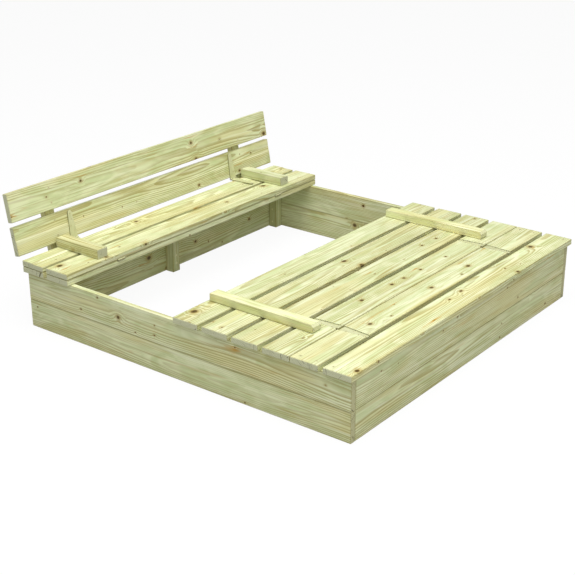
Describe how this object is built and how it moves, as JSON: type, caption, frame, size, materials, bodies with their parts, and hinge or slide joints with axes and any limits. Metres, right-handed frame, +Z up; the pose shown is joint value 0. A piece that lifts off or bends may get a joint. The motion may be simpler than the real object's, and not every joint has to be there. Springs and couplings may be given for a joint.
{
  "type": "sandbox with folding bench covers",
  "caption": "Square timber sandbox with two half covers that fold out on strap hinges into benches with backrests.",
  "frame": {"origin": "middle of the whole footprint, on the ground, with the front cover shut and the rear cover folded out", "axes": "+X along the cover planks, +Y from the front cover to the rear bench, +Z up"},
  "size_m": [1.224, 1.3016, 0.4167],
  "materials": {
    "wall_board": "planed pressure-treated pine",
    "post": "planed pressure-treated pine",
    "cover_plank": "planed pressure-treated pine",
    "batten": "planed pressure-treated pine",
    "armrest": "planed pressure-treated pine",
    "strap_hinge": "yellow passivated zinc plate",
    "hinge_pin": "zinc plate",
    "screw": "yellow passivated zinc plate"
  },
  "bodies": {
    "root": {"front_fixed_leaf_screws": "screw", "front_fixed_plank_screws": "screw", "front_inner_fixed_plank": "cover_plank", "front_left_post": "post", "front_middle_post": "post", "front_outer_fixed_plank": "cover_plank", "front_right_post": "post", "front_seat_hinge_fixed_leaves": "strap_hinge", "front_seat_hinge_pins": "hinge_pin", "front_wall_lower_board": "wall_board", "front_wall_upper_board": "wall_board", "left_wall_lower_board": "wall_board", "left_wall_upper_board": "wall_board", "post_screws": "screw", "rear_fixed_leaf_screws": "screw", "rear_fixed_plank_screws": "screw", "rear_inner_fixed_plank": "cover_plank", "rear_left_post": "post", "rear_middle_post": "post", "rear_outer_fixed_plank": "cover_plank", "rear_right_post": "post", "rear_seat_hinge_fixed_leaves": "strap_hinge", "rear_seat_hinge_pins": "hinge_pin", "rear_wall_lower_board": "wall_board", "rear_wall_upper_board": "wall_board", "right_wall_lower_board": "wall_board", "right_wall_upper_board": "wall_board"},
    "front_seat": {"front_backrest_hinge_pins": "hinge_pin", "front_backrest_hinge_seat_leaves": "strap_hinge", "front_left_armrest": "armrest", "front_right_armrest": "armrest", "front_seat_back_plank": "cover_plank", "front_seat_front_plank": "cover_plank", "front_seat_hinge_moving_leaves": "strap_hinge", "front_seat_screws": "screw"},
    "front_backrest": {"front_backrest_hinge_backrest_leaves": "strap_hinge", "front_backrest_lower_plank": "cover_plank", "front_backrest_screws": "screw", "front_backrest_upper_plank": "cover_plank", "front_left_batten": "batten", "front_right_batten": "batten"},
    "rear_seat": {"rear_backrest_hinge_pins": "hinge_pin", "rear_backrest_hinge_seat_leaves": "strap_hinge", "rear_left_armrest": "armrest", "rear_right_armrest": "armrest", "rear_seat_back_plank": "cover_plank", "rear_seat_front_plank": "cover_plank", "rear_seat_hinge_moving_leaves": "strap_hinge", "rear_seat_screws": "screw"},
    "rear_backrest": {"rear_backrest_hinge_backrest_leaves": "strap_hinge", "rear_backrest_lower_plank": "cover_plank", "rear_backrest_screws": "screw", "rear_backrest_upper_plank": "cover_plank", "rear_left_batten": "batten", "rear_right_batten": "batten"}
  },
  "joints": [
    {"name": "front_seat_hinge", "type": "hinge", "parent": "root", "child": "front_seat", "pos_m": [0, -0.45609, 0.1987], "axis": [1, 0, 0], "range_deg": [0, 180]},
    {"name": "front_backrest_hinge", "type": "hinge", "parent": "front_seat", "child": "front_backrest", "pos_m": [0, -0.25119, 0.177], "axis": [-1, 0, 0], "range_deg": [0, 80]},
    {"name": "rear_seat_hinge", "type": "hinge", "parent": "root", "child": "rear_seat", "pos_m": [0, 0.36851, 0.1987], "axis": [1, 0, 0], "range_deg": [0, 180]},
    {"name": "rear_backrest_hinge", "type": "hinge", "parent": "rear_seat", "child": "rear_backrest", "pos_m": [0, 0.57341, 0.2204], "axis": [-1, 0, 0], "range_deg": [0, 80]}
  ],
  "couplings": [
    {"joint": "front_backrest_hinge", "follows": "front_seat_hinge", "ratio": 0.44444},
    {"joint": "rear_backrest_hinge", "follows": "rear_seat_hinge", "ratio": 0.44444}
  ]
}
